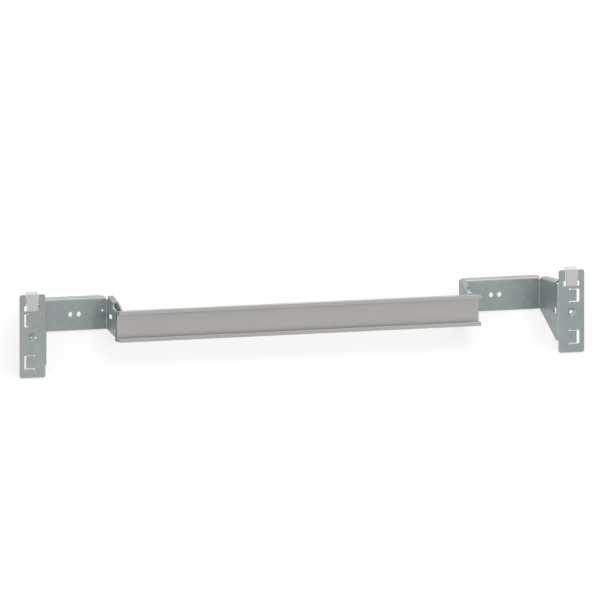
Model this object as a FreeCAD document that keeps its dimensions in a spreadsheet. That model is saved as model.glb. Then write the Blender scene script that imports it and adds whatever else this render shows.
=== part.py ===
import FreeCAD, Part
import math
import os

import Sketcher

# Cross rail on two folded end brackets, drawn upright and then laid as it rests.
# Drawn frame, in millimetres: X along the rail from its middle, Y back from the front of the
# end plates, Z up from their feet. Every piece is drawn on the +X side and mirrored to -X.

doc = FreeCAD.newDocument("cross_rail")

# The driving dimensions: name, value, what it is
SIZES = (
    ("sheet", 2.0, "thickness of the galvanised sheet"),
    ("bend", 1.0, "inside radius of a fold"),
    ("spread", 673.6, "width across the outer edges of the two end plates"),
    ("plate_width", 30.0, "width of an end plate up to its flat inner edge"),
    ("plate_height", 92.5, "height of an end plate"),
    ("plate_corner", 2.5, "corner radius of an end plate"),
    ("fold_step", 2.2, "how far the folded web stands past the plate's flat inner edge"),
    ("web_depth", 55.0, "front of the plate to the back of the arm"),
    ("web_foot", 13.5, "lowest point of the web, at the plate"),
    ("arm_foot", 44.0, "lower edge of the arm"),
    ("fold_top", 80.0, "upper face of the folded flanges"),
    ("flange", 17.0, "width of the top flanges, from the face they are folded from"),
    ("flange_start", 7.0, "distance of the web's flange behind the front of the plate"),
    ("mitre_gap", 3.5, "opening between the two flanges at the corner, along the fold"),
    ("end_cut", 5.0, "slanted cut at the free corner of a flange"),
    ("rail_length", 432.0, "length of the rail, 24 modules of 18 mm"),
    ("rail_height", 35.0, "height of the rail over its lips"),
    ("rail_front", 7.5, "front of the rail's lips behind the front of the plates"),
    ("rail_foot", 33.4, "lower edge of the rail above the feet of the plates"),
    ("lip_height", 4.5, "height of each lip"),
    ("lip_sheet", 1.5, "thickness of the lips and walls of the rail"),
    ("recess", 7.5, "depth of the channel between the lips"),
    ("web_sheet", 1.5, "thickness of the rail's web"),
    ("nut_room", 3.5, "clear depth of the slot at the rail's back"),
    ("slot_mouth", 6.0, "opening of the slot at the rail's back"),
    ("slot_width", 8.8, "inside width of that slot"),
    ("hook_room", 0.5, "depth by which the hook space reaches behind the web's front"),
    ("hook_drop", 3.0, "height of the hook space behind each lip"),
    ("back_drop", 1.0, "how far the rail's back stays below its upper lip"),
    ("rail_edge", 0.6, "rounding of the lips"),
    ("rail_heel", 2.0, "rounding of the rail's lower back edge"),
    ("tab_inset", 2.5, "distance of a tab's outer face inside the rail's end"),
    ("tab_step", 7.2, "width of the folded hood, outer face to inner face"),
    ("hood_back", 50.0, "back end of the hood, from the front of the plates"),
    ("hood_front", 35.0, "front end of the hood"),
    ("hood_high", 81.2, "height of the hood at its back end"),
    ("hood_low", 75.6, "height of the hood at its front end"),
    ("hood_edge", 1.2, "rounding of the hood's outer edges"),
    ("tab_knee", 30.0, "where the tab's lower edge bends, from the front of the plates"),
    ("tab_knee_height", 37.9, "height of that bend"),
    ("shoulder", 69.5, "height of the tab in front of the hood"),
    ("foot_width", 16.0, "width of the foot that lies along the rail's back"),
    ("foot_margin", 3.0, "distance of the foot's edges inside the rail's height"),
    ("foot_corner", 2.0, "corner radius of the foot"),
    ("foot_fold", 1.8, "outside radius of the fold between the wall and the foot"),
    ("screw_bore", 5.4, "screw hole in the foot"),
    ("screw_size", 5.0, "thread size of the rail screw"),
    ("thread_gap", 0.05, "radial clearance drawn between screw and nut"),
    ("screw_head", 9.5, "diameter of the screw head"),
    ("head_height", 3.2, "height of the screw head"),
    ("head_round", 1.3, "rounding of the screw head's rim"),
    ("key_size", 3.0, "hexagon key of the screw head, across flats"),
    ("key_depth", 1.8, "depth of that key"),
    ("screw_end_gap", 0.5, "distance of the screw's end behind the rail's web"),
    ("nut_size", 8.4, "side of the square nut"),
    ("nut_height", 2.7, "thickness of the square nut"),
    ("window_out", 5.1, "windows' outer edge from the plate's outer edge"),
    ("window_width", 12.2, "width of the windows"),
    ("upper_window", 56.4, "lower edge of the upper window"),
    ("upper_window_height", 14.6, "height of the upper window"),
    ("lower_window", 9.5, "lower edge of the lower window"),
    ("lower_window_height", 15.3, "height of the lower window"),
    ("tongue_gap", 0.9, "slit above and below a window's tongue"),
    ("tongue_end", 3.4, "opening between a tongue's free end and the window's outer edge"),
    ("tongue_step", 1.6, "how far a tongue is joggled back"),
    ("tongue_root", 2.2, "length of the joggle"),
    ("root_hole", 2.2, "relief hole at each corner of a tongue's root"),
    ("dimple_inset", 15.0, "countersunk hole from the plate's outer edge"),
    ("dimple_height", 45.3, "height of the countersunk hole"),
    ("dimple_width", 9.5, "diameter of the countersink"),
    ("dimple_bore", 4.3, "hole in the countersink"),
    ("dimple_depth", 2.2, "depth of the pressed cone"),
    ("dimple_land", 1.2, "straight length of its hole"),
    ("dimple_wall", 1.2, "wall of the pressed cone round its hole"),
    ("dimple_rim", 1.0, "rim of the pressed cone round the countersink"),
    ("clip_width", 13.1, "width of the spring clip on the plate"),
    ("clip_slit", 1.2, "slit beside the clip"),
    ("clip_foot", 74.2, "root of the clip"),
    ("clip_shoulder", 93.2, "top of the clip's flat"),
    ("clip_tip", 95.2, "top of the clip's lead-in"),
    ("clip_proud", 0.8, "how far the clip stands in front of the plate at its root"),
    ("clip_rise", 2.4, "height over which the clip comes forward"),
    ("lead_in", 2.7, "depth of the clip's lead-in"),
    ("clip_end", 1.5, "height of the clip's cut end, at the back of its tip"),
    ("clip_heel", 0.8, "how far the fold lies lower at the clip's back than at its front"),
    ("relief_width", 19.7, "width of the relief at the clip's root"),
    ("relief_height", 5.8, "height of that relief"),
    ("arm_hole", 5.6, "diameter of the two holes in the arm"),
    ("arm_hole_first", 33.0, "first arm hole from the tab's outer face"),
    ("arm_hole_pitch", 9.9, "distance between the arm holes"),
    ("arm_hole_height", 61.8, "height of the arm holes"),
    ("pilot", 2.6, "diameter of the small hole beside the tab"),
    ("pilot_offset", 5.0, "small hole from the tab's outer face"),
    ("pilot_height", 65.0, "height of the small hole"),
    ("web_hole", 9.0, "diameter of the hole in the web"),
    ("web_hole_back", 8.6, "web hole behind the front of the plate"),
    ("web_hole_height", 47.0, "height of the web hole"),
    ("slot_front", 37.5, "front end of the slot in the tab"),
    ("slot_length", 13.0, "length of the slot in the tab"),
    ("slot_foot", 56.2, "lower edge of the slot in the tab"),
    ("slot_height", 5.0, "height of the slot in the tab"),
)

sheet = doc.addObject("Spreadsheet::Sheet", "Sizes")
for row, (name, value, words) in enumerate(SIZES, start=1):
    sheet.set(f"A{row}", name)
    sheet.set(f"B{row}", str(value))
    sheet.set(f"C{row}", words)
    sheet.setAlias(f"B{row}", name)
doc.recompute()


class Size:
    """A length together with the text that works it out from the sheet."""

    def __init__(self, value, text):
        self.value = value
        self.text = text

    def joined(self, other, sign, value):
        text = other.text if isinstance(other, Size) else str(other)
        return Size(value, f"({self.text} {sign} {text})")

    def __add__(self, other):
        return self.joined(other, "+", self.value + number(other))

    def __sub__(self, other):
        return self.joined(other, "-", self.value - number(other))

    def __mul__(self, other):
        return self.joined(other, "*", self.value * number(other))

    def __truediv__(self, other):
        return self.joined(other, "/", self.value / number(other))

    def __neg__(self):
        return Size(-self.value, f"(-1 * {self.text})")


def number(length):
    return length.value if isinstance(length, Size) else length


def hypotenuse(run, rise):
    """Length of a slanted line with this run and rise."""
    value = math.hypot(run.value, rise.value)
    return Size(value, f"sqrt({run.text} * {run.text} + {rise.text} * {rise.text})")


class Named:
    """The sheet's cells, each as a Size of its own name."""

    def __init__(self):
        for name, value, _words in SIZES:
            setattr(self, name, Size(value, f"Sizes.{name}"))


d = Named()
ZERO = Size(0.0, "0")
BEYOND = 5.0    # how far a cutting outline reaches past the metal
TOUCH = 0.01    # two places this close are the same edge

# Places that several pieces share
plate_out = d.spread / 2
plate_in = plate_out - d.plate_width
web_in = plate_in - d.fold_step
web_out = web_in + d.sheet
arm_front = d.web_depth - d.sheet
tab_out = d.rail_length / 2 - d.tab_inset
tab_in = tab_out - d.sheet
hood_in = tab_out - d.tab_step
wall_out = hood_in + d.sheet
web_front = d.rail_front + d.recess
slot_floor = web_front + d.web_sheet
slot_lip = slot_floor + d.nut_room
rail_back = slot_lip + d.lip_sheet
rail_top = d.rail_foot + d.rail_height
rail_middle = d.rail_foot + d.rail_height / 2
foot_low = d.rail_foot + d.foot_margin
foot_high = rail_top - d.foot_margin
foot_back = rail_back + d.sheet
plate_middle = plate_out - d.plate_width / 2
flange_under = d.fold_top - d.sheet
arm_top = flange_under - d.bend
flange_back = arm_front + d.flange
flange_out = web_in + d.flange
screw_x = hood_in - d.foot_width / 2


def bind(item, prop, length):
    item.setExpression(prop, length.text)


def new_body(name):
    body = doc.addObject("PartDesign::Body", name)
    body.Label = name
    return body


def plane(body, role):
    return next(item for item in body.Origin.OriginFeatures if item.Role == role)


def new_sketch(body, name, role, offset=ZERO):
    """A sketch on one of the body's own planes, moved along the plane's normal."""
    sketch = body.newObject("Sketcher::SketchObject", name)
    sketch.AttachmentSupport = (plane(body, role), [""])
    sketch.MapMode = "FlatFace"
    sketch.AttachmentOffset = FreeCAD.Placement(FreeCAD.Vector(0, 0, offset.value), FreeCAD.Rotation())
    bind(sketch, ".AttachmentOffset.Base.z", offset)
    return sketch


def fix(sketch, kind, geometry, point, length):
    """Hold one point of the sketch at this distance from the sketch's origin."""
    index = sketch.addConstraint(Sketcher.Constraint(kind, -1, 1, geometry, point, length.value))
    sketch.setExpression(f"Constraints[{index}]", length.text)


def outline(sketch, points, arcs=None):
    """Close straight lines through the points, each held by two dimensions.

    arcs gives, for the side that starts at a point, its radius and centre instead.
    """
    arcs = arcs or {}
    corners = [FreeCAD.Vector(across.value, up.value, 0) for across, up in points]
    first = sketch.GeometryCount
    count = len(points)
    ends = []
    for index in range(count):
        start = corners[index]
        end = corners[(index + 1) % count]
        if index in arcs:
            radius, (across, up) = arcs[index]
            centre = FreeCAD.Vector(across.value, up.value, 0)
            bulge = centre + ((start + end) / 2 - centre).normalize() * radius.value
            sketch.addGeometry(Part.Arc(start, bulge, end), False)
            clockwise = (start - centre).cross(end - centre).z < 0
            ends.append((2, 1) if clockwise else (1, 2))
        else:
            sketch.addGeometry(Part.LineSegment(start, end), False)
            ends.append((1, 2))
    for index in range(count):
        following = (index + 1) % count
        joint = (first + index, ends[index][1], first + following, ends[following][0])
        sketch.addConstraint(Sketcher.Constraint("Coincident", *joint))
    for index, (across, up) in enumerate(points):
        fix(sketch, "DistanceX", first + index, ends[index][0], across)
        fix(sketch, "DistanceY", first + index, ends[index][0], up)
    for index, (radius, _centre) in arcs.items():
        held = sketch.addConstraint(Sketcher.Constraint("Radius", first + index, radius.value))
        sketch.setExpression(f"Constraints[{held}]", radius.text)


def box(sketch, left, right, low, high):
    outline(sketch, [(left, low), (right, low), (right, high), (left, high)])


def ring(sketch, across, up, diameter):
    """A circle held by its centre and diameter."""
    centre = FreeCAD.Vector(across.value, up.value, 0)
    circle = Part.Circle(centre, FreeCAD.Vector(0, 0, 1), diameter.value / 2)
    geometry = sketch.addGeometry(circle, False)
    fix(sketch, "DistanceX", geometry, 3, across)
    fix(sketch, "DistanceY", geometry, 3, up)
    index = sketch.addConstraint(Sketcher.Constraint("Diameter", geometry, diameter.value))
    sketch.setExpression(f"Constraints[{index}]", diameter.text)


def pad(body, name, sketch, length, reverse=False):
    feature = body.newObject("PartDesign::Pad", name)
    feature.Profile = sketch
    feature.Reversed = reverse
    bind(feature, "Length", length)
    doc.recompute()
    return feature


def pocket(body, name, sketch, length, reverse=False):
    """Cut a sketch into the body and make sure that metal was taken away."""
    before = body.Shape.Volume
    feature = body.newObject("PartDesign::Pocket", name)
    feature.Profile = sketch
    feature.Reversed = reverse
    bind(feature, "Length", length)
    doc.recompute()
    if body.Shape.Volume >= before:
        raise ValueError(f"{name} cuts nothing")
    return feature


def near(first, second):
    return abs(first - second) < TOUCH


def edges_along(shape, direction, test):
    """Names of the straight edges along a direction whose middle passes the test."""
    names = []
    for index, edge in enumerate(shape.Edges, start=1):
        if not isinstance(edge.Curve, Part.Line):
            continue
        if edge.Curve.Direction.cross(direction).Length > TOUCH:
            continue
        if test(edge.CenterOfMass):
            names.append(f"Edge{index}")
    return names


def fillet(body, name, names, radius):
    if not names:
        raise ValueError(f"{name} finds no edge")
    base = body.Tip
    feature = body.newObject("PartDesign::Fillet", name)
    feature.Base = (base, names)
    bind(feature, "Radius", radius)
    doc.recompute()
    return feature


ALONG_X = FreeCAD.Vector(1, 0, 0)
ALONG_Y = FreeCAD.Vector(0, 1, 0)
ALONG_Z = FreeCAD.Vector(0, 0, 1)


# The rail

def rail_section(sketch):
    """The extruded outline: hooked lips in front, two chambers and a nut slot behind."""
    front = d.rail_front
    lip_back = front + d.lip_sheet
    hook_end = web_front + d.hook_room
    low_lip = d.rail_foot + d.lip_height
    high_lip = rail_top - d.lip_height
    low_hook = d.rail_foot + d.hook_drop
    high_hook = rail_top - d.hook_drop
    back_top = rail_top - d.back_drop
    mouth_low = rail_middle - d.slot_mouth / 2
    mouth_high = rail_middle + d.slot_mouth / 2
    slot_low = rail_middle - d.slot_width / 2
    slot_high = rail_middle + d.slot_width / 2
    outline(sketch, [
        (front, d.rail_foot), (front, low_lip), (web_front, low_lip), (web_front, high_lip),
        (front, high_lip), (front, rail_top), (lip_back, rail_top), (lip_back, high_hook),
        (hook_end, high_hook), (hook_end, back_top), (rail_back, back_top),
        (rail_back, mouth_high), (slot_lip, mouth_high), (slot_lip, slot_high),
        (slot_floor, slot_high), (slot_floor, slot_low), (slot_lip, slot_low),
        (slot_lip, mouth_low), (rail_back, mouth_low), (rail_back, d.rail_foot),
        (hook_end, d.rail_foot), (hook_end, low_hook), (lip_back, low_hook),
        (lip_back, d.rail_foot),
    ])
    box(sketch, slot_floor, slot_lip, slot_high + d.lip_sheet, back_top - d.lip_sheet)
    box(sketch, slot_floor, slot_lip, d.rail_foot + d.lip_sheet, slot_low - d.lip_sheet)


def make_rail():
    body = new_body("din_rail")
    sketch = new_sketch(body, "RailSection", "YZ_Plane")
    rail_section(sketch)
    bar = body.newObject("PartDesign::Pad", "RailBar")
    bar.Profile = sketch
    bar.SideType = "Symmetric"
    bind(bar, "Length", d.rail_length)
    doc.recompute()

    def lip_edge(at):
        in_front = near(at.y, d.rail_front.value)
        low_inside = near(at.z, (d.rail_foot + d.lip_height).value)
        high_inside = near(at.z, (rail_top - d.lip_height).value)
        outside = near(at.z, d.rail_foot.value) or near(at.z, rail_top.value)
        return in_front and (outside or low_inside or high_inside)

    def heel(at):
        return near(at.y, rail_back.value) and near(at.z, d.rail_foot.value)

    fillet(body, "LipRounding", edges_along(body.Shape, ALONG_X, lip_edge), d.rail_edge)
    fillet(body, "HeelRounding", edges_along(body.Shape, ALONG_X, heel), d.rail_heel)
    return body


# The bracket

def fold_strip(body):
    """Plate, web, arm and tab as one folded strip, still at full height."""
    sketch = new_sketch(body, "StripSection", "XY_Plane")
    outline(sketch, [
        (plate_out, ZERO), (web_in, ZERO), (web_in, arm_front), (tab_out, arm_front),
        (tab_out, rail_back), (tab_in, rail_back), (tab_in, d.web_depth),
        (web_out, d.web_depth), (web_out, d.sheet), (plate_out, d.sheet),
    ])
    pad(body, "Strip", sketch, d.plate_height)
    inside = [(web_out, d.sheet), (web_in, arm_front), (tab_out, arm_front)]
    outside = [(web_in, ZERO), (web_out, d.web_depth), (tab_in, d.web_depth)]

    def at_one_of(places):
        return lambda at: any(near(at.x, x.value) and near(at.y, y.value) for x, y in places)

    fillet(body, "InsideFolds", edges_along(body.Shape, ALONG_Z, at_one_of(inside)), d.bend)
    fillet(body, "OutsideFolds", edges_along(body.Shape, ALONG_Z, at_one_of(outside)), d.bend + d.sheet)


def cut_side(body, name, start, width, points):
    """Trim the strip in side view between start and start + width along X."""
    sketch = new_sketch(body, name + "Outline", "YZ_Plane", start)
    outline(sketch, points)
    pocket(body, name, sketch, width, reverse=True)


def trim_strip(body):
    below = ZERO - BEYOND
    above = d.plate_height + BEYOND
    front = ZERO - BEYOND
    back = d.web_depth + BEYOND

    sketch = new_sketch(body, "ArmTrimOutline", "XZ_Plane", -back)
    box(sketch, tab_out, web_in, below, d.arm_foot)
    box(sketch, tab_out, web_in, arm_top, above)
    pocket(body, "ArmTrim", sketch, d.web_depth, reverse=True)

    web_width = plate_in - web_in
    fold_zone = d.sheet + d.bend
    cut_side(body, "WebFootTrim", web_in, web_width, [
        (front, below), (front, d.web_foot), (fold_zone, d.web_foot), (arm_front, d.arm_foot),
        (back, d.arm_foot), (back, below),
    ])
    cut_side(body, "WebTopTrim", web_in, web_width, [
        (front, arm_top), (front, above), (back, above), (back, arm_top),
    ])
    tab_front = rail_back - BEYOND
    cut_side(body, "TabFootTrim", tab_in, d.sheet, [
        (tab_front, below), (tab_front, foot_low), (rail_back, foot_low),
        (d.tab_knee, d.tab_knee_height), (arm_front, d.arm_foot), (back, d.arm_foot), (back, below),
    ])
    cut_side(body, "TabTopTrim", tab_in, d.sheet, [
        (tab_front, above), (tab_front, foot_high), (rail_back, foot_high),
        (d.hood_front, d.shoulder), (d.hood_front, d.hood_low), (d.hood_back, d.hood_high),
        (d.hood_back, arm_top), (back, arm_top), (back, above),
    ])


def hood_and_foot(body):
    """The hood over the tab, the wall it turns down into, and the foot behind the rail."""
    run = d.hood_back - d.hood_front
    rise = d.hood_high - d.hood_low
    upright = d.sheet * hypotenuse(run, rise) / run
    sketch = new_sketch(body, "HoodOutline", "YZ_Plane", hood_in)
    outline(sketch, [
        (d.hood_front, d.hood_low), (d.hood_back, d.hood_high),
        (d.hood_back, d.hood_high - upright), (d.hood_front, d.hood_low - upright),
    ])
    pad(body, "Hood", sketch, d.tab_step)

    slope = (d.arm_foot - d.tab_knee_height) / (arm_front - d.tab_knee)
    wall_foot = d.tab_knee_height + slope * (d.hood_back - d.tab_knee)
    sketch = new_sketch(body, "WallOutline", "YZ_Plane", hood_in)
    outline(sketch, [
        (d.hood_back, d.hood_high), (d.hood_front, d.hood_low), (foot_back, d.shoulder),
        (rail_back, foot_high), (rail_back, foot_low), (d.tab_knee, d.tab_knee_height),
        (d.hood_back, wall_foot),
    ])
    pad(body, "Wall", sketch, d.sheet)

    sketch = new_sketch(body, "FootOutline", "XZ_Plane", -foot_back)
    box(sketch, hood_in - d.foot_width, wall_out, foot_low, foot_high)
    pad(body, "Foot", sketch, d.sheet)

    def hood_ridge(at):
        middle = (d.hood_high.value + d.hood_low.value) / 2
        on_top = near(at.z, middle)
        return on_top and (near(at.x, hood_in.value) or near(at.x, tab_out.value))

    slant = FreeCAD.Vector(0, run.value, rise.value).normalize()
    fillet(body, "HoodRounding", edges_along(body.Shape, slant, hood_ridge), d.hood_edge)

    def foot_outside(at):
        return near(at.x, wall_out.value) and near(at.y, rail_back.value)

    def foot_inside(at):
        return near(at.x, hood_in.value) and near(at.y, foot_back.value)

    def foot_corner(at):
        high_or_low = near(at.z, foot_low.value) or near(at.z, foot_high.value)
        return near(at.x, (hood_in - d.foot_width).value) and high_or_low

    fillet(body, "FootFold", edges_along(body.Shape, ALONG_Z, foot_outside), d.foot_fold)
    fillet(body, "FootFoldInside", edges_along(body.Shape, ALONG_Z, foot_inside), d.bend)
    fillet(body, "FootCorners", edges_along(body.Shape, ALONG_Y, foot_corner), d.foot_corner)


def flange_profile(sketch, face):
    """A flange folded over from a wall whose front is at face: a quarter bend and a flat."""
    back = face + d.sheet
    centre = (back + d.bend, arm_top)
    outline(sketch, [
        (face, arm_top - d.bend), (face, arm_top), (back + d.bend, d.fold_top),
        (face + d.flange, d.fold_top), (face + d.flange, flange_under),
        (back + d.bend, flange_under), (back, arm_top), (back, arm_top - d.bend),
    ], arcs={1: (d.bend + d.sheet, centre), 5: (d.bend, centre)})


def cut_plan(body, name, points):
    """Trim the flanges in plan view, from above."""
    sketch = new_sketch(body, name + "Outline", "XY_Plane", d.fold_top)
    outline(sketch, points)
    pocket(body, name, sketch, d.sheet)


def top_flanges(body):
    """Stiffening flanges on the arm and the web, mitred where they meet."""
    arm_start = tab_out + d.bend
    arm_end = web_in - d.bend
    sketch = new_sketch(body, "ArmFlangeProfile", "YZ_Plane", arm_start)
    flange_profile(sketch, arm_front)
    pad(body, "ArmFlange", sketch, arm_end - arm_start)

    web_end = arm_front - d.bend
    sketch = new_sketch(body, "WebFlangeProfile", "XZ_Plane", -web_end)
    flange_profile(sketch, web_in)
    pad(body, "WebFlange", sketch, web_end - d.flange_start)

    flat = d.flange - d.sheet - d.bend
    wing = flat - d.mitre_gap
    arm_flat = flange_back - flat
    web_flat = flange_out - flat
    wings = (
        ("ArmWing", [(arm_end, arm_flat), (arm_end, flange_back), (arm_end + flat, flange_back)]),
        ("WebWing", [(web_flat, web_end), (flange_out, web_end), (flange_out, web_end + wing)]),
    )
    for name, points in wings:
        sketch = new_sketch(body, name + "Outline", "XY_Plane", flange_under)
        outline(sketch, points)
        pad(body, name, sketch, d.sheet)

    cut_plan(body, "ArmFlangeCut", [
        (arm_start, flange_back - d.end_cut), (arm_start, flange_back),
        (arm_start + d.end_cut, flange_back),
    ])
    cut_plan(body, "WebFlangeCut", [
        (flange_out - d.end_cut, d.flange_start), (flange_out, d.flange_start),
        (flange_out, d.flange_start + d.end_cut),
    ])


def make_window(body, name, low, height):
    out = plate_out - d.window_out
    root = out - d.window_width
    depth = d.sheet * 2
    sketch = new_sketch(body, name + "WindowOutline", "XZ_Plane", -depth)
    box(sketch, root, out, low, low + height)
    pocket(body, name + "Window", sketch, depth, reverse=True)
    for corner, end in (("Top", low + height), ("Foot", low)):
        sketch = new_sketch(body, name + corner + "ReliefOutline", "XZ_Plane", -depth)
        ring(sketch, root, end, d.root_hole)
        pocket(body, name + corner + "Relief", sketch, depth, reverse=True)
    tip = out - d.tongue_end
    step = d.tongue_step
    knee = root + d.tongue_root
    sketch = new_sketch(body, name + "TongueOutline", "XY_Plane", low + d.tongue_gap)
    outline(sketch, [
        (root, ZERO), (knee, step), (tip, step), (tip, step + d.sheet),
        (knee, step + d.sheet), (root, d.sheet), (root - d.root_hole / 2, d.sheet),
        (root - d.root_hole / 2, ZERO),
    ])
    pad(body, name + "Tongue", sketch, height - d.tongue_gap * 2)


def make_clip(body):
    """A sprung tongue at the top of the plate, with a slanted lead-in."""
    half = d.clip_width / 2
    left = plate_middle - half
    right = plate_middle + half
    above = d.plate_height + BEYOND
    depth = d.sheet * 2
    sketch = new_sketch(body, "ClipSlitOutline", "XZ_Plane", -depth)
    box(sketch, left - d.clip_slit, right + d.clip_slit, d.clip_foot + d.relief_height / 2, above)
    pocket(body, "ClipSlit", sketch, depth, reverse=True)
    sketch = new_sketch(body, "ClipReliefOutline", "XZ_Plane", -depth)
    relief = d.relief_width / 2
    box(sketch, plate_middle - relief, plate_middle + relief, d.clip_foot, d.clip_foot + d.relief_height)
    pocket(body, "ClipRelief", sketch, depth, reverse=True)

    proud = -d.clip_proud
    knee = d.clip_foot + d.clip_rise
    root = d.clip_foot - d.sheet
    sketch = new_sketch(body, "ClipOutline", "YZ_Plane", left)
    outline(sketch, [
        (ZERO, root), (ZERO, d.clip_foot), (proud, knee), (ZERO, d.clip_shoulder),
        (d.lead_in, d.clip_tip), (d.lead_in + d.sheet, d.clip_tip),
        (d.lead_in + d.sheet, d.clip_tip - d.clip_end),
        (d.sheet, d.clip_shoulder - d.clip_heel), (proud + d.sheet, knee),
        (d.sheet, d.clip_foot), (d.sheet, root),
    ])
    pad(body, "Clip", sketch, d.clip_width)


def make_dimple(body):
    """A pressed countersink: a cone behind the plate, opened from the front."""
    centre = plate_out - d.dimple_inset
    mouth = d.dimple_width / 2
    bore = d.dimple_bore / 2
    depth = d.dimple_depth + d.dimple_land
    rim = mouth + d.dimple_rim
    skin = bore + d.dimple_wall
    cone = new_sketch(body, "DimpleSkin", "XY_Plane", d.dimple_height)
    outline(cone, [
        (centre, ZERO), (centre + rim, ZERO), (centre + rim, d.sheet), (centre + skin, depth),
        (centre, depth),
    ])
    opening = new_sketch(body, "DimpleOpening", "XY_Plane", d.dimple_height)
    outline(opening, [
        (centre, -d.sheet), (centre + mouth, -d.sheet), (centre + mouth, ZERO),
        (centre + bore, d.dimple_depth), (centre + bore, depth + d.sheet), (centre, depth + d.sheet),
    ])
    for kind, name, sketch in (("Revolution", "Dimple", cone), ("Groove", "DimpleBore", opening)):
        before = body.Shape.Volume
        axis = new_sketch(body, name + "Axis", "XY_Plane", d.dimple_height)
        line = Part.LineSegment(FreeCAD.Vector(centre.value, -1, 0), FreeCAD.Vector(centre.value, 1, 0))
        axis.addGeometry(line, False)
        for point, up in ((1, ZERO - 1), (2, ZERO + 1)):
            fix(axis, "DistanceX", 0, point, centre)
            fix(axis, "DistanceY", 0, point, up)
        doc.recompute()
        feature = body.newObject("PartDesign::" + kind, name)
        feature.Profile = sketch
        feature.ReferenceAxis = (axis, ["Edge1"])
        feature.Angle = 360
        doc.recompute()
        grown = body.Shape.Volume - before
        if (grown <= 0) == (kind == "Revolution"):
            raise ValueError(f"{name} points the wrong way")


def make_holes(body):
    depth = d.sheet * 3
    sketch = new_sketch(body, "ArmHoleOutline", "XZ_Plane", -(d.web_depth + d.sheet))
    first = tab_out + d.arm_hole_first
    ring(sketch, first, d.arm_hole_height, d.arm_hole)
    ring(sketch, first + d.arm_hole_pitch, d.arm_hole_height, d.arm_hole)
    ring(sketch, tab_out + d.pilot_offset, d.pilot_height, d.pilot)
    pocket(body, "ArmHoles", sketch, depth, reverse=True)

    sketch = new_sketch(body, "WebHoleOutline", "YZ_Plane", web_in - d.sheet)
    ring(sketch, d.web_hole_back, d.web_hole_height, d.web_hole)
    pocket(body, "WebHole", sketch, depth, reverse=True)

    sketch = new_sketch(body, "TabSlotOutline", "YZ_Plane", tab_in)
    box(sketch, d.slot_front, d.slot_front + d.slot_length, d.slot_foot, d.slot_foot + d.slot_height)
    pocket(body, "TabSlot", sketch, d.sheet, reverse=True)

    sketch = new_sketch(body, "FootHoleOutline", "XZ_Plane", -foot_back)
    ring(sketch, screw_x, rail_middle, d.screw_bore)
    pocket(body, "FootHole", sketch, d.sheet, reverse=True)


def round_plate(body):
    def corner(at):
        on_side = near(at.x, plate_out.value) or near(at.x, plate_in.value)
        on_end = near(at.z, 0.0) or near(at.z, d.plate_height.value)
        return on_side and on_end and at.y < d.sheet.value

    fillet(body, "PlateCorners", edges_along(body.Shape, ALONG_Y, corner), d.plate_corner)


def make_bracket():
    body = new_body("right_bracket")
    fold_strip(body)
    trim_strip(body)
    round_plate(body)
    hood_and_foot(body)
    top_flanges(body)
    make_window(body, "Upper", d.upper_window, d.upper_window_height)
    make_window(body, "Lower", d.lower_window, d.lower_window_height)
    make_clip(body)
    make_dimple(body)
    make_holes(body)
    return body


# The rail's fixings

def make_screw():
    """A screw that comes through the foot from behind, with a hexagon key in its head."""
    body = new_body("right_rail_screw")
    stages = (
        ("Shank", slot_floor + d.screw_end_gap, foot_back, d.screw_size),
        ("Head", foot_back, foot_back + d.head_height, d.screw_head),
    )
    for name, start, end, diameter in stages:
        sketch = new_sketch(body, name + "Outline", "XZ_Plane", -end)
        ring(sketch, screw_x, rail_middle, diameter)
        pad(body, name, sketch, end - start)
    back = (foot_back + d.head_height).value

    def rim(edge):
        return isinstance(edge.Curve, Part.Circle) and near(edge.Curve.Center.y, back)

    names = [f"Edge{index}" for index, edge in enumerate(body.Shape.Edges, start=1) if rim(edge)]
    fillet(body, "HeadRounding", names, d.head_round)
    sketch = new_sketch(body, "KeyOutline", "XZ_Plane", -(foot_back + d.head_height))
    half = d.key_size / 2
    reach = d.key_size / math.sqrt(3)
    outline(sketch, [
        (screw_x + reach, rail_middle), (screw_x + reach / 2, rail_middle + half),
        (screw_x - reach / 2, rail_middle + half), (screw_x - reach, rail_middle),
        (screw_x - reach / 2, rail_middle - half), (screw_x + reach / 2, rail_middle - half),
    ])
    pocket(body, "Key", sketch, d.key_depth, reverse=True)
    return body


def make_nut():
    """A square nut held against the lips of the rail's back slot."""
    body = new_body("right_rail_nut")
    half = d.nut_size / 2
    sketch = new_sketch(body, "NutOutline", "XZ_Plane", -slot_lip)
    box(sketch, screw_x - half, screw_x + half, rail_middle - half, rail_middle + half)
    ring(sketch, screw_x, rail_middle, d.screw_size + d.thread_gap * 2)
    pad(body, "Nut", sketch, d.nut_height)
    return body


def mirrored(source, name):
    """The same piece on the other side of the rail's middle."""
    twin = doc.addObject("Part::Mirroring", name)
    twin.Label = name
    twin.Source = source
    twin.Normal = FreeCAD.Vector(1, 0, 0)
    twin.Base = FreeCAD.Vector(0, 0, 0)
    return twin


def lay_down(bodies):
    """Turn the pieces back onto the plates' and arms' lower back edges, as they rest."""
    lean = math.degrees(math.atan2(d.arm_foot.value, arm_front.value))
    turn = FreeCAD.Rotation(FreeCAD.Vector(-1, 0, 0), lean)
    for body in bodies:
        body.Placement = FreeCAD.Placement(FreeCAD.Vector(), turn)
        body.setExpression(".Placement.Rotation.Angle", f"atan({d.arm_foot.text} / {arm_front.text})")
    doc.recompute()
    whole = FreeCAD.BoundBox()
    for body in bodies:
        whole.add(body.Shape.optimalBoundingBox(False))
    for body in bodies:
        body.Placement.Base = FreeCAD.Vector(0, -whole.Center.y, -whole.ZMin)
    doc.recompute()


def check_states():
    for item in doc.Objects:
        if "Invalid" in item.State or "Error" in item.State:
            raise ValueError(f"{item.Name} failed: {item.State}")


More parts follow.
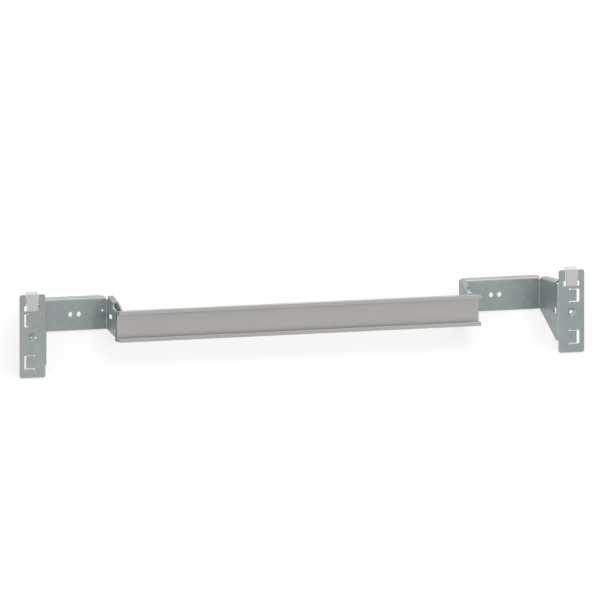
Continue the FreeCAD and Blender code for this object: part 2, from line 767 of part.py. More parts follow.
rail = make_rail()
bracket = make_bracket()
screw = make_screw()
nut = make_nut()
lay_down([rail, bracket, screw, nut])
nodes = [rail, bracket, screw, nut]
for piece in (bracket, screw, nut):
    nodes.append(mirrored(piece, piece.Label.replace("right", "left")))
doc.recompute()
check_states()

os.makedirs("parts", exist_ok=True)
for node in nodes:
    shape = node.Shape
    if shape.isNull() or not shape.isValid() or len(shape.Solids) != 1:
        raise ValueError(f"{node.Label} is not one valid solid")
    shape.exportStep(f"parts/{node.Label}.step")
    print(node.Label, round(shape.Volume, 1), shape.BoundBox)
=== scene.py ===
# %% [markdown]
# A metal rail for electrical devices, held between two folded brackets. This notebook dresses the
# finished construction for a studio picture: it adds the finish of every surface, the broken
# edges that catch the light, the small turned parts, the lamps and the camera.

# %% Load the construction
import math

import bmesh
import bpy
from mathutils import Matrix, Vector


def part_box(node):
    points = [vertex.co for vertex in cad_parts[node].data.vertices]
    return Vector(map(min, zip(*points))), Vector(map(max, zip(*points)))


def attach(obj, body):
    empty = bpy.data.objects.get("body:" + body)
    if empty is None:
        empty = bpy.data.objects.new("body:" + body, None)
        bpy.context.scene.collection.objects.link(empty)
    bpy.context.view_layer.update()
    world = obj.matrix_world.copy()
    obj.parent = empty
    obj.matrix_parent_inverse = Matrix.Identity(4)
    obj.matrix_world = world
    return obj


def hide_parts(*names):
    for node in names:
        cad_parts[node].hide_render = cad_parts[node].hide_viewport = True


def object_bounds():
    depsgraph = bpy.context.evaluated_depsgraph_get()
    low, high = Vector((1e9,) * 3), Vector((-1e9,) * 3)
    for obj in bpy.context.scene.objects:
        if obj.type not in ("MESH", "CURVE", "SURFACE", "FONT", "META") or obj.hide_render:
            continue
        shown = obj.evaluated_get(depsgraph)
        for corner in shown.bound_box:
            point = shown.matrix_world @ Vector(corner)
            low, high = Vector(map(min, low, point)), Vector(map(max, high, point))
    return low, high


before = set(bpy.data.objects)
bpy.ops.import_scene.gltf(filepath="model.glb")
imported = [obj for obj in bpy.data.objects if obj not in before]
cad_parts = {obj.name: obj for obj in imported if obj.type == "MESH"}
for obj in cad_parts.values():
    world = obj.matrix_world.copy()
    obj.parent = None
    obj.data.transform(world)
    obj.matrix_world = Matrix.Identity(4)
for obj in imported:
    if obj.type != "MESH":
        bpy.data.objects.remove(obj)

cad_low, cad_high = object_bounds()
scene = bpy.context.scene
print("construction box", [round(high - low, 4) for low, high in zip(cad_low, cad_high)])

# %% [markdown]
# The object was drawn upright and then leant back until it rests on the feet of its end plates
# and the lower edges of its arms. Many places are easier to think of on the upright object, so
# two small functions turn an upright direction or place into the leaning one. The lean follows
# from the two lowest corners of a bracket, so it is worked out and not measured again.

# %% Upright directions and places
MM = 0.001
SHEET = 2.0 * MM
ARM_FOOT = 44.0 * MM
ARM_FRONT = 53.0 * MM
LEAN = math.atan2(ARM_FOOT, ARM_FRONT)
LEANING = Matrix.Rotation(-LEAN, 3, "X")
PLATE_FOOT = Vector((0.0, cad_low.y, SHEET * math.sin(LEAN)))


def leant(x, y, z):
    """A direction on the upright object, as the object lies here."""
    return LEANING @ Vector((x, y, z))


def upright(place):
    """A place on the object as it lies, given on the upright object."""
    return LEANING.inverted() @ (place - PLATE_FOOT)


print("lean in degrees", round(math.degrees(LEAN), 2))

# %% [markdown]
# The camera comes first, because every later choice is judged through it. The photograph looks
# at the upright object from the left and a little from above, with no visible perspective. An
# orthographic camera would do, but the other views need a lens, so a very long lens at a large
# distance is used: its lines stay parallel to the eye. The point it aims at is found from the one
# midway between the plates' feet: two pixels say how far apart these lie in the picture.

# %% Camera
CAMERA_LEFT = math.radians(21.5)
CAMERA_ABOVE = math.radians(6.8)
MM_PER_PIXEL = 1 / 0.90
PIXELS = 600
LENS = 1700.0
SENSOR = 36.0
AIM_PIXEL = (298.8, 300.0)
ORIGIN_PIXEL = (302.07, 365.0)

to_camera = leant(
    -math.sin(CAMERA_LEFT) * math.cos(CAMERA_ABOVE),
    -math.cos(CAMERA_LEFT) * math.cos(CAMERA_ABOVE),
    math.sin(CAMERA_ABOVE),
)
camera_right = leant(math.cos(CAMERA_LEFT), -math.sin(CAMERA_LEFT), 0.0)
camera_up = to_camera.cross(camera_right)

distance = PIXELS * MM_PER_PIXEL * MM * LENS / SENSOR
across = (AIM_PIXEL[0] - ORIGIN_PIXEL[0]) * MM_PER_PIXEL * MM
upward = (ORIGIN_PIXEL[1] - AIM_PIXEL[1]) * MM_PER_PIXEL * MM
aim = PLATE_FOOT + camera_right * across + camera_up * upward

camera_data = bpy.data.cameras.new("camera")
camera_data.lens = LENS
camera_data.sensor_width = SENSOR
camera_data.clip_start = distance * 0.5
camera_data.clip_end = distance * 2
camera = bpy.data.objects.new("camera", camera_data)
scene.collection.objects.link(camera)
turn = Matrix((camera_right, camera_up, to_camera)).transposed().to_4x4()
camera.matrix_world = Matrix.Translation(aim + to_camera * distance) @ turn
scene.camera = camera
print("camera distance", round(distance, 2))

# %% [markdown]
# Every finish here is a tree of nodes, and a tree takes many lines when each node is made by
# hand. Small helpers keep the recipes short. One adds a node and fills or links its inputs. Two
# turn a mask, which is a number from 0 to 1, into a range of colours or of numbers. Two more put
# masks together, and the last gives the place on the object that a pattern is drawn at.

# %% Helpers for node trees
def add_node(tree, kind, inputs=None, **settings):
    """A new node, with its settings set and its inputs filled with values or links."""
    node = tree.nodes.new(kind)
    for name, value in settings.items():
        setattr(node, name, value)
    for name, value in (inputs or {}).items():
        if isinstance(value, bpy.types.NodeSocket):
            tree.links.new(value, node.inputs[name])
        else:
            node.inputs[name].default_value = value
    return node


def shade(tree, mask, dark, light):
    """A colour between dark and light, as the mask goes from 0 to 1."""
    ramp = add_node(tree, "ShaderNodeValToRGB", {"Fac": mask})
    ramp.color_ramp.elements[0].color = (*dark, 1.0)
    ramp.color_ramp.elements[1].color = (*light, 1.0)
    return ramp.outputs["Color"]


def spread(tree, mask, low, high):
    """A number between low and high, as the mask goes from 0 to 1."""
    node = add_node(tree, "ShaderNodeMapRange", {"Value": mask, "To Min": low, "To Max": high})
    return node.outputs["Result"]


def combine(tree, operation, first, second):
    """Two masks or numbers, put together by one step of arithmetic."""
    node = add_node(tree, "ShaderNodeMath", {0: first, 1: second}, operation=operation)
    return node.outputs["Value"]


def mingle(tree, first, second, share):
    """A mask that is partly the first, by the given share, and for the rest the second."""
    part = combine(tree, "MULTIPLY", first, share)
    rest = combine(tree, "MULTIPLY", second, 1.0 - share)
    return combine(tree, "ADD", part, rest)


def object_place(tree, stretch=(1.0, 1.0, 1.0)):
    """The place on the object, stretched by a factor along each of its three directions."""
    place = add_node(tree, "ShaderNodeTexCoord").outputs["Object"]
    return add_node(tree, "ShaderNodeMapping", {"Vector": place, "Scale": stretch}).outputs["Vector"]


# %% [markdown]
# Three effects show up on more than one metal here. Drawn lines run along the metal where it was
# pulled through a die or between rolls. Handling leaves broad, faint clouds where hands, oil and
# air have dulled the surface. Edges lose their grey skin first, so a thin line along them is
# brighter. Each is a group of nodes that gives out one mask, so every metal can use it in its own
# measure.

# %% Shared effects
def new_group(name, title, value, output):
    """An empty node group with one number input and one number output."""
    tree = bpy.data.node_groups.new(name, "ShaderNodeTree")
    socket = tree.interface.new_socket(name=title, in_out="INPUT", socket_type="NodeSocketFloat")
    socket.default_value = value
    tree.interface.new_socket(name=output, in_out="OUTPUT", socket_type="NodeSocketFloat")
    return tree, tree.nodes.new("NodeGroupInput"), tree.nodes.new("NodeGroupOutput")


ALONG_THE_METAL = (0.004, 1.0, 1.0)

drawn_lines, given, result = new_group("drawn lines", "Fineness", 700.0, "Lines")
noise = add_node(drawn_lines, "ShaderNodeTexNoise", {
    "Vector": object_place(drawn_lines, ALONG_THE_METAL), "Scale": given.outputs["Fineness"],
    "Detail": 3.0, "Roughness": 0.65})
drawn_lines.links.new(noise.outputs["Fac"], result.inputs["Lines"])

handling, given, result = new_group("handling clouds", "Size", 18.0, "Clouds")
noise = add_node(handling, "ShaderNodeTexNoise", {
    "Vector": object_place(handling), "Scale": given.outputs["Size"],
    "Detail": 4.0, "Roughness": 0.55, "Distortion": 0.4})
handling.links.new(noise.outputs["Fac"], result.inputs["Clouds"])

worn_edge, given, result = new_group("worn edge", "Patchiness", 260.0, "Bare")
edge = add_node(worn_edge, "ShaderNodeAttribute", attribute_name="broken_edge").outputs["Fac"]
noise = add_node(worn_edge, "ShaderNodeTexNoise", {
    "Vector": object_place(worn_edge), "Scale": given.outputs["Patchiness"], "Detail": 2.0})
patches = spread(worn_edge, noise.outputs["Fac"], 0.35, 1.0)
worn_edge.links.new(combine(worn_edge, "MULTIPLY", edge, patches), result.inputs["Bare"])
print("shared effects", [group.name for group in bpy.data.node_groups])

# %% [markdown]
# All three finishes are bare metal, so they share a start: a metallic surface whose colour is the
# share of light it throws back, and whose roughness says how blurred its reflections are. Zinc
# and pressed aluminium carry a thin grey skin that scatters some light, so they are less than
# fully metallic, and corners that mirror other dark metal don't go black.

# %% Metal starter
def new_metal(name, metallic):
    """A metallic material with its tree and shader."""
    material = bpy.data.materials.new(name)
    material.use_nodes = True
    shader = material.node_tree.nodes["Principled BSDF"]
    shader.inputs["Metallic"].default_value = metallic
    return material, material.node_tree, shader


def effect(tree, group, output, **values):
    """The mask of a shared effect, used in this material with its own values."""
    node = add_node(tree, "ShaderNodeGroup", node_tree=group)
    for title, value in values.items():
        node.inputs[title].default_value = value
    return node.outputs[output]


def relief(tree, shader, height, strength, depth):
    """Let a mask stand out of the surface by a small depth."""
    bump = add_node(tree, "ShaderNodeBump", {
        "Height": height, "Strength": strength, "Distance": depth})
    tree.links.new(bump.outputs["Normal"], shader.inputs["Normal"])


# %% [markdown]
# The rail is extruded aluminium left as it comes from the press. It is a warm, even grey, and
# the die leaves fine lines along its whole length. The lines change the colour a little and the
# roughness more, because that is what makes drawn metal shimmer in streaks when it turns.

# %% Rail aluminium
aluminium, tree, shader = new_metal("pressed aluminium", 0.8)
lines = effect(tree, drawn_lines, "Lines", Fineness=650.0)
broad = effect(tree, drawn_lines, "Lines", Fineness=120.0)
clouds = effect(tree, handling, "Clouds", Size=9.0)
bare = effect(tree, worn_edge, "Bare", Patchiness=200.0)

streaks = mingle(tree, lines, broad, 0.5)
tone = mingle(tree, streaks, clouds, 0.7)
warm_grey = shade(tree, tone, (0.378, 0.366, 0.354), (0.512, 0.500, 0.486))
tree.links.new(warm_grey, shader.inputs["Base Color"])

dull = combine(tree, "SUBTRACT", streaks, combine(tree, "MULTIPLY", bare, 0.4))
tree.links.new(spread(tree, dull, 0.30, 0.52), shader.inputs["Roughness"])
relief(tree, shader, lines, strength=0.12, depth=0.08 * MM)
print(aluminium.name, "has", len(tree.nodes), "nodes")

# %% [markdown]
# The brackets are folded from galvanised sheet. Molten zinc freezes on the steel in flat crystals
# a few millimetres across, each facing its own way, so neighbours are a shade lighter or darker
# and duller or glossier. A Voronoi texture gives such cells, and the colour it picks for each
# cell is the mask. The photograph shows the spring tongue at the top of each plate lighter and
# warmer than the plate, so its faces carry a mark of their own, which mixes in that tone. The
# node that mixes has sockets of the same names for every kind of data, so they go by number.

# %% Galvanised sheet
MIX_SHARE = 0
MIX_FIRST_COLOUR = 6
MIX_SECOND_COLOUR = 7
MIX_COLOUR = 2

galvanised, tree, shader = new_metal("galvanised steel sheet", 0.55)
place = object_place(tree)
wobble = add_node(tree, "ShaderNodeTexNoise", {"Vector": place, "Scale": 160.0, "Detail": 2.0})
bent = add_node(
    tree, "ShaderNodeVectorMath", {0: wobble.outputs["Color"], "Scale": 0.004}, operation="SCALE")
moved = add_node(
    tree, "ShaderNodeVectorMath", {0: place, 1: bent.outputs["Vector"]}, operation="ADD")
crystals = add_node(
    tree, "ShaderNodeTexVoronoi", {"Vector": moved.outputs["Vector"], "Scale": 210.0})
cell = add_node(tree, "ShaderNodeSeparateColor", {"Color": crystals.outputs["Color"]}).outputs["Red"]
clouds = effect(tree, handling, "Clouds", Size=14.0)
rolled = effect(tree, drawn_lines, "Lines", Fineness=300.0)
bare = effect(tree, worn_edge, "Bare", Patchiness=260.0)
mark = add_node(tree, "ShaderNodeAttribute", attribute_name="polished").outputs["Fac"]

mottle = mingle(tree, cell, clouds, 0.35)
brightened = combine(tree, "ADD", mottle, combine(tree, "MULTIPLY", bare, 0.5))
zinc_tone = shade(tree, brightened, (0.285, 0.322, 0.322), (0.405, 0.442, 0.442))
polished_tone = shade(tree, clouds, (0.52, 0.512, 0.517), (0.65, 0.642, 0.645))
mixed = add_node(tree, "ShaderNodeMix", data_type="RGBA")
tree.links.new(mark, mixed.inputs[MIX_SHARE])
tree.links.new(zinc_tone, mixed.inputs[MIX_FIRST_COLOUR])
tree.links.new(polished_tone, mixed.inputs[MIX_SECOND_COLOUR])
tree.links.new(mixed.outputs[MIX_COLOUR], shader.inputs["Base Color"])

dull = mingle(tree, cell, rolled, 0.6)
tree.links.new(spread(tree, dull, 0.30, 0.45), shader.inputs["Roughness"])
relief(tree, shader, combine(tree, "ADD", cell, rolled), strength=0.06, depth=0.06 * MM)
print(galvanised.name, "has", len(tree.nodes), "nodes")

# %% [markdown]
# The screws and nuts are plated in a bath, which gives a thinner, brighter zinc with no crystals.
# Fine clouds keep it from looking like chrome.

# %% Plated fixings
plated, tree, shader = new_metal("bright plated steel", 1.0)
clouds = effect(tree, handling, "Clouds", Size=240.0)
bare = effect(tree, worn_edge, "Bare", Patchiness=500.0)
tone = combine(tree, "ADD", clouds, combine(tree, "MULTIPLY", bare, 0.3))
bright_grey = shade(tree, tone, (0.44, 0.45, 0.45), (0.62, 0.62, 0.60))
tree.links.new(bright_grey, shader.inputs["Base Color"])
tree.links.new(spread(tree, clouds, 0.18, 0.34), shader.inputs["Roughness"])
relief(tree, shader, clouds, strength=0.05, depth=0.05 * MM)
print(plated.name, "has", len(tree.nodes), "nodes")

# %% [markdown]
# A solid straight from the construction has knife edges, which no real metal has: a shear or a
# saw leaves a tiny burr that is broken by hand, and that narrow strip is what catches the light.
# Each rail or bracket is therefore copied, its loose triangles are joined, flat areas are made
# one face again, and every outward edge gets a narrow bevel. The bevel's middle line is marked
# for the worn edge effect, and weighted normals keep the flat faces looking flat.

# %% Broken edges
EDGE_ANGLE = math.radians(40)
SMOOTH_ANGLE = math.radians(50)
FLAT = math.radians(0.3)
JOIN = 0.004 * MM


def mark_middle(mesh_edit, made):
    """Mark the points that only bevel faces meet, which are the middle line of each bevel."""
    layer = mesh_edit.verts.layers.float.new("broken_edge")
    strips = set(made["faces"])
    for point in made["verts"]:
        if point.is_valid and all(face in strips for face in point.link_faces):
            point[layer] = 1.0


def break_edges(mesh_edit, width):
    """Bevel the outward edges and mark their middle line. Returns how many there were."""
    sharp = [
        edge for edge in mesh_edit.edges
        if len(edge.link_faces) == 2 and edge.is_convex and edge.calc_face_angle() > EDGE_ANGLE
    ]
    made = bmesh.ops.bevel(
        mesh_edit, geom=sharp, offset=width, offset_type="OFFSET", segments=2, profile=0.5,
        affect="EDGES", clamp_overlap=True, material=-1,
    )
    mark_middle(mesh_edit, made)
    return len(sharp)


def joined_copy(node):
    """The node's triangles as one closed skin, with flat areas made one face again."""
    mesh_edit = bmesh.new()
    mesh_edit.from_mesh(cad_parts[node].data)
    bmesh.ops.remove_doubles(mesh_edit, verts=mesh_edit.verts, dist=JOIN)
    bmesh.ops.dissolve_limit(
        mesh_edit, angle_limit=FLAT, verts=mesh_edit.verts, edges=mesh_edit.edges,
        use_dissolve_boundaries=False,
    )
    return mesh_edit


def open_edges(mesh_edit):
    """How many edges don't join exactly two faces. A closed skin has none."""
    return sum(1 for edge in mesh_edit.edges if len(edge.link_faces) != 2)


# %% [markdown]
# A finished mesh becomes a piece: it gets its material and its smooth shading, it rides on the
# object, and it takes the place of the construction's node of the same part, which is hidden.

# %% From mesh to piece
def finish_piece(mesh_edit, name, material, replaced):
    """Make the mesh a piece that rides on the object and hide the construction node it replaces."""
    mesh = bpy.data.meshes.new(name)
    mesh_edit.to_mesh(mesh)
    mesh_edit.free()
    mesh.materials.append(material)
    mesh.shade_smooth()
    mesh.set_sharp_from_angle(angle=SMOOTH_ANGLE)
    piece = bpy.data.objects.new(name, mesh)
    scene.collection.objects.link(piece)
    weighted = piece.modifiers.new("flat faces stay flat", "WEIGHTED_NORMAL")
    weighted.keep_sharp = True
    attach(piece, "root")
    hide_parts(replaced)


# %% [markdown]
# The rail needs nothing but its edges, because the extrusion is already drawn with its lips,
# hooks, chambers and back slot.

# %% Rail
RAIL_BEVEL = 0.2 * MM

rail_skin = joined_copy("din_rail")
count = break_edges(rail_skin, RAIL_BEVEL)
print("rail", count, "edges broken,", open_edges(rail_skin), "left open")
finish_piece(rail_skin, "rail_dressed", aluminium, "din_rail")

# %% [markdown]
# Each bracket gets the same treatment with a narrower bevel, because sheet is sheared and not
# sawn. The faces of the spring tongue are found by their place on the upright object: they stand
# at the top middle of the plate, above the tongue's root and near the front.

# %% Spring tongue
PLATE_WIDTH = 30.0 * MM
PLATE_MIDDLE = cad_high.x - PLATE_WIDTH / 2
TONGUE_HALF = 6.7 * MM
TONGUE_FOOT = 74.4 * MM
TONGUE_DEPTH = 5.5 * MM


def mark_tongue(mesh_edit):
    """Mark the faces of the spring tongue as polished. Returns how many there are."""
    layer = mesh_edit.faces.layers.float.new("polished")
    count = 0
    for face in mesh_edit.faces:
        place = upright(face.calc_center_median())
        beside = abs(abs(place.x) - PLATE_MIDDLE) < TONGUE_HALF
        if beside and place.z > TONGUE_FOOT and place.y < TONGUE_DEPTH:
            face[layer] = 1.0
            count += 1
    return count


# %% [markdown]
# The photograph shows the web's top flange narrower than it was drawn, and both flanges cut off
# square where they meet. So this copy is sheared before its edges are broken: a plane cuts the
# faces on its far side away, and the open end is closed again. Each cut is offered only the
# faces of one flange, told by their height and depth, because the spring tongue and the plate's
# corner stand at the same height and must stay whole. As drawn, the two flanges part along a
# slanted gap, and the line through that gap tells them apart. The count of open edges shows
# whether each cut was closed.

# %% Shear the top flanges
FLANGE_LOW = 77.5 * MM
FLANGE_HIGH = 80.5 * MM
FLANGE_START = 6.5 * MM
WEB_STEP = 2.2 * MM
WEB_INNER = cad_high.x - PLATE_WIDTH - WEB_STEP
WEB_FLANGE = 9.3 * MM
CORNER = 52.0 * MM
GAP_FOOT = 303.0 * MM
GAP_SLOPE = 0.9
FACE_SLACK = 0.5 * MM


def on_a_flange(place):
    """True at the height of the two top flanges."""
    return FLANGE_LOW < place.z < FLANGE_HIGH


def before_gap(place):
    """True on the web's side of the slanted gap between the two flanges."""
    return place.y < CORNER + GAP_SLOPE * (abs(place.x) - GAP_FOOT)


def on_web_flange(place):
    """True on the web's flange, behind the plate's corner and off the wall's inner face."""
    off_face = abs(place.x) > WEB_INNER + FACE_SLACK
    return on_a_flange(place) and off_face and place.y > FLANGE_START and before_gap(place)


def on_arm_flange(place):
    """True on the arm's flange."""
    return on_a_flange(place) and place.y > CORNER and not before_gap(place)


def shear(mesh_edit, belongs, at, outward):
    """Cut the chosen faces off past an upright plane and close the cut."""
    faces = [face for face in mesh_edit.faces if belongs(upright(face.calc_center_median()))]
    edges = {edge for face in faces for edge in face.edges}
    points = {point for face in faces for point in face.verts}
    bmesh.ops.bisect_plane(
        mesh_edit, geom=faces + list(edges) + list(points), dist=JOIN / 10,
        plane_co=PLATE_FOOT + leant(*at), plane_no=leant(*outward), clear_outer=True,
    )
    gap = [edge for edge in mesh_edit.edges if len(edge.link_faces) == 1]
    bmesh.ops.holes_fill(mesh_edit, edges=gap, sides=0)


# %% [markdown]
# One bracket is the mirror image of the other, so one loop dresses both, with a sign that turns
# the cuts round. Mirroring a finished copy would do as well, but each bracket is made from its own
# solid, so that neither can drift away from the construction.

# %% Dress both brackets
BRACKET_BEVEL = 0.16 * MM

for side, sign in (("left", -1), ("right", 1)):
    node = f"{side}_bracket"
    skin = joined_copy(node)
    sideways = (sign, 0.0, 0.0)
    shear(skin, on_web_flange, (sign * (WEB_INNER + WEB_FLANGE), 0.0, 0.0), sideways)
    shear(skin, on_web_flange, (0.0, CORNER, 0.0), (0.0, 1.0, 0.0))
    shear(skin, on_arm_flange, (sign * (WEB_INNER + SHEET), 0.0, 0.0), sideways)
    print(node, "has", open_edges(skin), "open edges after the cuts")
    count = break_edges(skin, BRACKET_BEVEL)
    marked = mark_tongue(skin)
    print(node, count, "edges broken,", open_edges(skin), "left open,", marked, "tongue faces")
    finish_piece(skin, f"{node}_dressed", galvanised, node)

# %% [markdown]
# The construction's screws and nuts are plain, so both are modelled again. They are drawn about
# the Z axis, where their shape is simple, and then turned onto the screw's own axis, which runs
# from front to back on the upright object.

# %% Where the screws and nuts sit
AXIS = leant(0.0, 1.0, 0.0)


def reach(node, direction):
    """How far a node reaches along a direction, from its lowest to its highest point."""
    values = [direction.dot(point.co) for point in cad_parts[node].data.vertices]
    return min(values), max(values)


def onto_axis(node, start):
    """Puts a mesh drawn round the Z axis onto the screw's axis, its origin at start."""
    low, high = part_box(node)
    middle = (low + high) / 2
    foot = middle + AXIS * (start - AXIS.dot(middle))
    sideways = Vector((1, 0, 0))
    facing = Matrix((sideways, AXIS.cross(sideways), AXIS)).transposed().to_4x4()
    return Matrix.Translation(foot) @ facing


# %% [markdown]
# A round head is a profile spun about the screw's axis, with its hexagon key sunk into the end.
# The hexagon's sides are divided until it has as many points as the head's ring, so that the two
# loops can be bridged, and the loop inside is then pulled down into a hole with a flat bottom.

# %% Screw head
TURN_STEPS = 24
CORE_RADIUS = 2.1 * MM
HEAD_RADIUS = 4.75 * MM
HEAD_HEIGHT = 3.2 * MM
SEAT_RADIUS = HEAD_RADIUS * 0.97
SEAT_EDGE = 0.15 * MM
CROWN_HEIGHT = HEAD_HEIGHT * 0.55
CROWN_STEPS = 6
KEY_SIDES = 6
KEY_ACROSS = 3.0 * MM
KEY_DEPTH = 1.8 * MM
KEY_RING = KEY_ACROSS * 0.65
SLACK = 0.01 * MM


def spun(mesh_edit, profile):
    """Spin a line of (radius, height) points about Z into a turned form."""
    points = [mesh_edit.verts.new((radius, 0.0, height)) for radius, height in profile]
    edges = [mesh_edit.edges.new(pair) for pair in zip(points, points[1:])]
    bmesh.ops.spin(
        mesh_edit, geom=points + edges, cent=(0, 0, 0), axis=(0, 0, 1), angle=2 * math.pi,
        steps=TURN_STEPS, use_merge=True, use_duplicate=False,
    )


def head_profile(low, high):
    """The head's outline from under its seat, round the crown and in to the key."""
    rim = high - CROWN_HEIGHT
    points = [
        (CORE_RADIUS, low),
        (SEAT_RADIUS, low),
        (HEAD_RADIUS, low + SEAT_EDGE),
        (HEAD_RADIUS, rim),
    ]
    for step in range(1, CROWN_STEPS + 1):
        angle = math.radians(90 * step / CROWN_STEPS)
        radius = HEAD_RADIUS - (HEAD_RADIUS - KEY_RING) * (1 - math.cos(angle))
        points.append((radius, rim + (high - rim) * math.sin(angle)))
    return points


def sink_key(mesh_edit, high):
    """Close the crown with a hexagon ring and a flat-bottomed hexagon hole."""
    ring = [edge for edge in mesh_edit.edges if len(edge.link_faces) == 1
            and min(point.co.z for point in edge.verts) > high - SLACK]
    hexagon = bmesh.ops.create_circle(
        mesh_edit, cap_ends=False, segments=KEY_SIDES, radius=KEY_ACROSS / math.sqrt(3),
        matrix=Matrix.Translation((0, 0, high)),
    )["verts"]
    sides = [edge for edge in mesh_edit.edges if all(point in hexagon for point in edge.verts)]
    bmesh.ops.subdivide_edges(mesh_edit, edges=sides, cuts=TURN_STEPS // KEY_SIDES - 1)
    rim = [edge for edge in mesh_edit.edges
           if not edge.link_faces and abs(edge.verts[0].co.z - high) < SLACK]
    bmesh.ops.bridge_loops(mesh_edit, edges=ring + rim)
    wall = bmesh.ops.extrude_edge_only(mesh_edit, edges=rim)["geom"]
    floor_points = [item for item in wall if isinstance(item, bmesh.types.BMVert)]
    bmesh.ops.translate(mesh_edit, verts=floor_points, vec=(0, 0, -KEY_DEPTH))
    floor_edges = [item for item in wall if isinstance(item, bmesh.types.BMEdge)]
    bmesh.ops.contextual_create(mesh_edit, geom=floor_edges)


# %% [markdown]
# The thread is one small tooth swept round and forward at once, which is what a spin with a step
# along its axis does. A coil of that kind is closed at both ends, so it may simply stand in the
# shank, with its root a little inside.

# %% Shank and thread
THREAD_RADIUS = 2.5 * MM
PITCH = 0.8 * MM
TOOTH_HALF = PITCH * 0.42
ROOT_RADIUS = CORE_RADIUS * 0.96
POINT_RADIUS = CORE_RADIUS * 0.8
POINT_LENGTH = 0.35 * MM


def shank_profile(high):
    """The shank's outline from the middle of its blunt point up to the head."""
    return [(0.0, 0.0), (POINT_RADIUS, 0.0), (CORE_RADIUS, POINT_LENGTH), (CORE_RADIUS, high)]


def cut_thread(mesh_edit, low, high):
    """One tooth swept round and forward along the shank, with its ends closed."""
    turns = (high - low - PITCH) / PITCH
    tooth = (
        (ROOT_RADIUS, low),
        (THREAD_RADIUS, low + TOOTH_HALF),
        (ROOT_RADIUS, low + TOOTH_HALF * 2),
    )
    points = [mesh_edit.verts.new((radius, 0.0, height)) for radius, height in tooth]
    first = mesh_edit.faces.new(points)
    steps = int(turns * TURN_STEPS)
    bmesh.ops.spin(
        mesh_edit, geom=[first], cent=(0, 0, 0), axis=(0, 0, 1), angle=2 * math.pi * turns,
        steps=steps, dvec=(0, 0, PITCH * turns / steps), use_merge=False, use_duplicate=False,
    )


# %% [markdown]
# Head and shank are joined where they share points. The thread is added after that, as a skin of
# its own that stands in the shank. On a real screw the two are one metal, but nobody can see the
# difference, and cutting them together would leave many thin faces. The length is measured on the
# construction's screw.

# %% Both screws
for side in ("left", "right"):
    node = f"{side}_rail_screw"
    low, high = reach(node, AXIS)
    length = high - low
    seat = length - HEAD_HEIGHT
    screw = bmesh.new()
    spun(screw, head_profile(seat, length))
    sink_key(screw, length)
    spun(screw, shank_profile(seat))
    bmesh.ops.remove_doubles(screw, verts=screw.verts, dist=JOIN)
    cut_thread(screw, POINT_LENGTH, seat)
    bmesh.ops.recalc_face_normals(screw, faces=screw.faces)
    bmesh.ops.transform(screw, matrix=onto_axis(node, low), verts=screw.verts)
    print(node, round(length / MM, 2), "mm long,", open_edges(screw), "edges left open")
    finish_piece(screw, f"{side}_screw_dressed", plated, node)

# %% [markdown]
# A square nut is stamped from bar: flat on both faces, with a bored hole and broken edges. It
# starts from a square grid whose middle is opened, the hole's ring is bridged to the square, and
# the flat ring is then pulled up to the nut's thickness.

# %% Both nuts
NUT_GRID = 6
BORE_RADIUS = 2.55 * MM
NUT_BEVEL = 0.3 * MM


def off_middle(edge):
    """How far an edge's middle lies from the nut's axis, along X or Y."""
    middle = (edge.verts[0].co + edge.verts[1].co) / 2
    return max(abs(middle.x), abs(middle.y))


for side in ("left", "right"):
    node = f"{side}_rail_nut"
    low, high = reach(node, AXIS)
    box_low, box_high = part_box(node)
    half = (box_high.x - box_low.x) / 2
    nut = bmesh.new()
    bmesh.ops.create_grid(nut, x_segments=NUT_GRID, y_segments=NUT_GRID, size=half)
    bmesh.ops.delete(nut, geom=list(nut.faces), context="FACES_ONLY")
    inner = [edge for edge in nut.edges if off_middle(edge) < half - SLACK]
    bmesh.ops.delete(nut, geom=inner, context="EDGES")
    bmesh.ops.create_circle(
        nut, cap_ends=False, segments=len(nut.edges), radius=BORE_RADIUS,
        matrix=Matrix.Rotation(math.radians(45), 4, "Z"),
    )
    bmesh.ops.bridge_loops(nut, edges=list(nut.edges))
    flat = bmesh.ops.extrude_face_region(nut, geom=list(nut.faces))["geom"]
    upper = [item for item in flat if isinstance(item, bmesh.types.BMVert)]
    bmesh.ops.translate(nut, verts=upper, vec=(0, 0, high - low))
    bmesh.ops.recalc_face_normals(nut, faces=nut.faces)
    count = break_edges(nut, NUT_BEVEL)
    bmesh.ops.transform(nut, matrix=onto_axis(node, low), verts=nut.verts)
    print(node, count, "edges broken,", open_edges(nut), "left open")
    finish_piece(nut, f"{side}_nut_dressed", plated, node)

# %% [markdown]
# The floor is a plain sheet far larger than the picture. Its colour is white for the camera and
# for reflections, so metal shows a bright room, and a matte part underneath keeps the soft shadow
# that ties the object to the ground.

# %% Floor
FLOOR_HALF = 20.0
FLOOR_MATTE = 0.30
FLOOR_GLOW = 0.72

floor_edit = bmesh.new()
bmesh.ops.create_grid(floor_edit, x_segments=1, y_segments=1, size=FLOOR_HALF)
floor_mesh = bpy.data.meshes.new("floor")
floor_edit.to_mesh(floor_mesh)
floor_edit.free()
floor = bpy.data.objects.new("floor", floor_mesh)
scene.collection.objects.link(floor)


def seen(tree):
    """1 for rays that see the background: from the camera, or off or through a surface."""
    rays = add_node(tree, "ShaderNodeLightPath").outputs
    shown = combine(tree, "MAXIMUM", rays["Is Camera Ray"], rays["Is Glossy Ray"])
    return combine(tree, "MAXIMUM", shown, rays["Is Transmission Ray"])


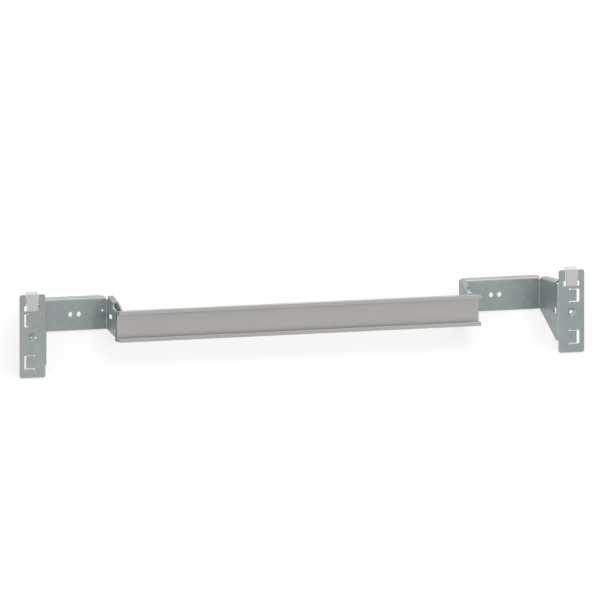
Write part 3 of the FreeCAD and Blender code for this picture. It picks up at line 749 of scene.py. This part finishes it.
paper = bpy.data.materials.new("pale floor")
paper.use_nodes = True
tree = paper.node_tree
tree.nodes.remove(tree.nodes["Principled BSDF"])
matte = add_node(tree, "ShaderNodeBsdfDiffuse", {
    "Color": (FLOOR_MATTE, FLOOR_MATTE, FLOOR_MATTE, 1.0)})
glow = add_node(tree, "ShaderNodeEmission", {
    "Strength": combine(tree, "MULTIPLY", seen(tree), FLOOR_GLOW)})
both = add_node(tree, "ShaderNodeAddShader", {0: matte.outputs["BSDF"], 1: glow.outputs["Emission"]})
tree.links.new(both.outputs["Shader"], tree.nodes["Material Output"].inputs["Surface"])
floor_mesh.materials.append(paper)
print("floor is", FLOOR_HALF * 2, "m wide")

# %% [markdown]
# The world is a white room. Rays that see it get plain white, and the light that it throws on
# matte surfaces is a little weaker, so that colours render about as they are written.

# %% Room
ROOM_LIGHT = 0.75
ROOM_WHITE = 1.0

room = bpy.data.worlds.new("white room")
scene.world = room
room.use_nodes = True
tree = room.node_tree
back = tree.nodes["Background"]
back.inputs["Color"].default_value = (1.0, 1.0, 1.0, 1.0)
tree.links.new(spread(tree, seen(tree), ROOM_LIGHT, ROOM_WHITE), back.inputs["Strength"])
print("room light", ROOM_LIGHT)

# %% [markdown]
# Bare metal looks like what it mirrors, so a lamp is placed where a surface would look for it. A
# large softbox stands above and behind on the right: the rounded folds between the upright walls
# and their top flanges look there, and turn into the bright strips of the photograph. A weaker
# one on the left lights the inner walls, which face that way.

# %% Lamps
def softbox(name, direction, away, size, brightness):
    """A square lamp that faces the object. Brightness is against the white of the room."""
    data = bpy.data.lights.new(name, "AREA")
    data.shape = "SQUARE"
    data.size = size
    data.energy = brightness * math.pi * size * size
    lamp = bpy.data.objects.new(name, data)
    scene.collection.objects.link(lamp)
    facing = Vector(direction).normalized()
    lamp.location = facing * away
    lamp.rotation_mode = "QUATERNION"
    lamp.rotation_quaternion = facing.to_track_quat("Z", "Y")


softbox("fold softbox", direction=(0.364, 0.499, 0.786), away=2.6, size=1.5, brightness=2.9)
softbox("side softbox", direction=(-0.85, -0.25, 0.45), away=2.6, size=1.4, brightness=2.0)

# %% [markdown]
# The view is left plain, with no film look on top, so that the tones are those of the materials.

# %% View
scene.view_settings.view_transform = "Standard"
